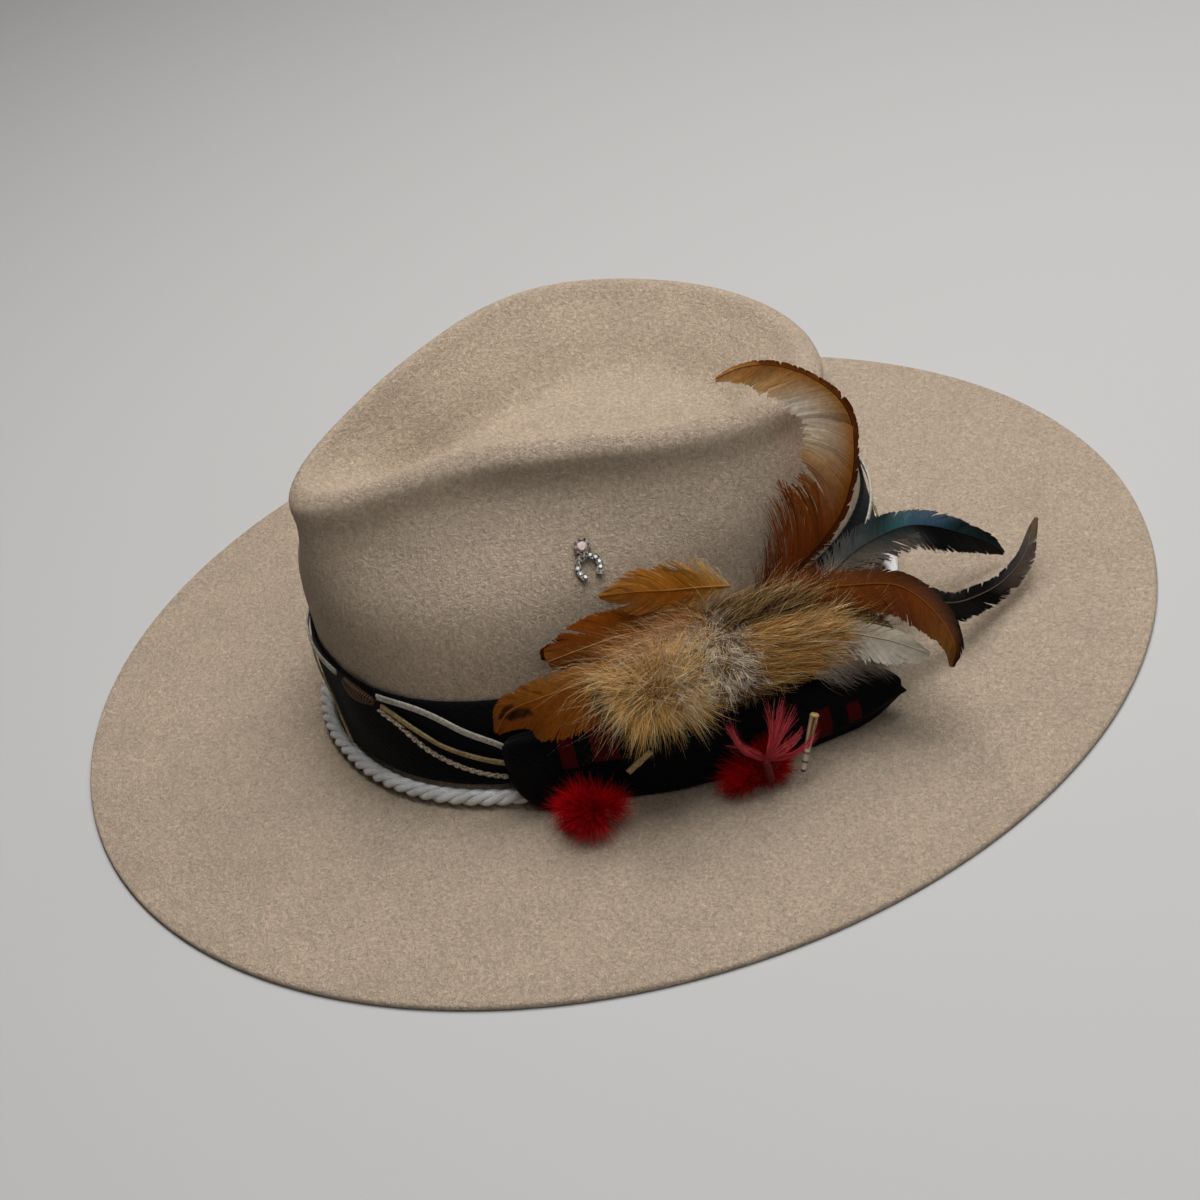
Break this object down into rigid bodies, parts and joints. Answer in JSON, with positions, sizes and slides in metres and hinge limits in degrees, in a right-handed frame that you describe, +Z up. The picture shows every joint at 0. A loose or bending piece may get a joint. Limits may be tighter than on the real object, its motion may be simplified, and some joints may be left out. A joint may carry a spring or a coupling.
{
  "type": "rancher hat",
  "caption": "Felt hat with a pinched teardrop crown, a wide flat brim, a cloth band with a rope and laces, and a feather and fur trim with a small horseshoe pin.",
  "frame": {"origin": "centre of the bounding box's base, on the surface that the brim rests on, below the middle of the crown", "axes": "+Z up through the crown, -Y towards the front of the hat, +X towards the wearer's left, where the trim is"},
  "size_m": [0.3892, 0.392, 0.131],
  "materials": {
    "felt": "brushed wool felt",
    "band_cloth": "plain black cloth",
    "rope": "twisted satin cord",
    "white_cord": "flat white lace",
    "cream_cord": "flat cream lace",
    "brown_thread": "waxed thread",
    "bow_cloth": "black cloth with dark red bars",
    "ginger_feather": "silky vane",
    "white_feather": "silky vane",
    "dark_feather": "glossy vane with a green sheen",
    "fur": "soft fur",
    "red_fluff": "downy fluff",
    "quill": "horn-like shaft with dark bars",
    "pewter": "darkened cast metal",
    "pink_stone": "milky cut stone",
    "clear_stone": "cut crystal"
  },
  "bodies": {
    "root": {"felt_body": "felt", "hat_band": "band_cloth", "rope_trim": "rope", "white_lace": "white_cord", "cream_lace": "cream_cord", "twisted_lace": "brown_thread", "side_lace": "cream_cord", "lace_wrap": "brown_thread", "cloth_bow": "bow_cloth", "sickle_feather": "ginger_feather", "left_upper_feather": "ginger_feather", "left_middle_feather": "ginger_feather", "left_under_feather": "ginger_feather", "left_lower_feather": "ginger_feather", "right_brown_feather": "ginger_feather", "right_white_feather": "white_feather", "green_feather": "dark_feather", "black_feather": "dark_feather", "fur_tuft": "fur", "red_puff_left": "red_fluff", "red_puff_right": "red_fluff", "red_hackle": "red_fluff", "striped_quill": "quill", "lace_end": "cream_cord", "pin_setting": "pewter", "pin_stone": "pink_stone", "crystal_1": "clear_stone", "crystal_2": "clear_stone", "crystal_3": "clear_stone", "crystal_4": "clear_stone", "crystal_5": "clear_stone", "crystal_6": "clear_stone", "crystal_7": "clear_stone", "pin_post": "pewter"}
  },
  "joints": []
}
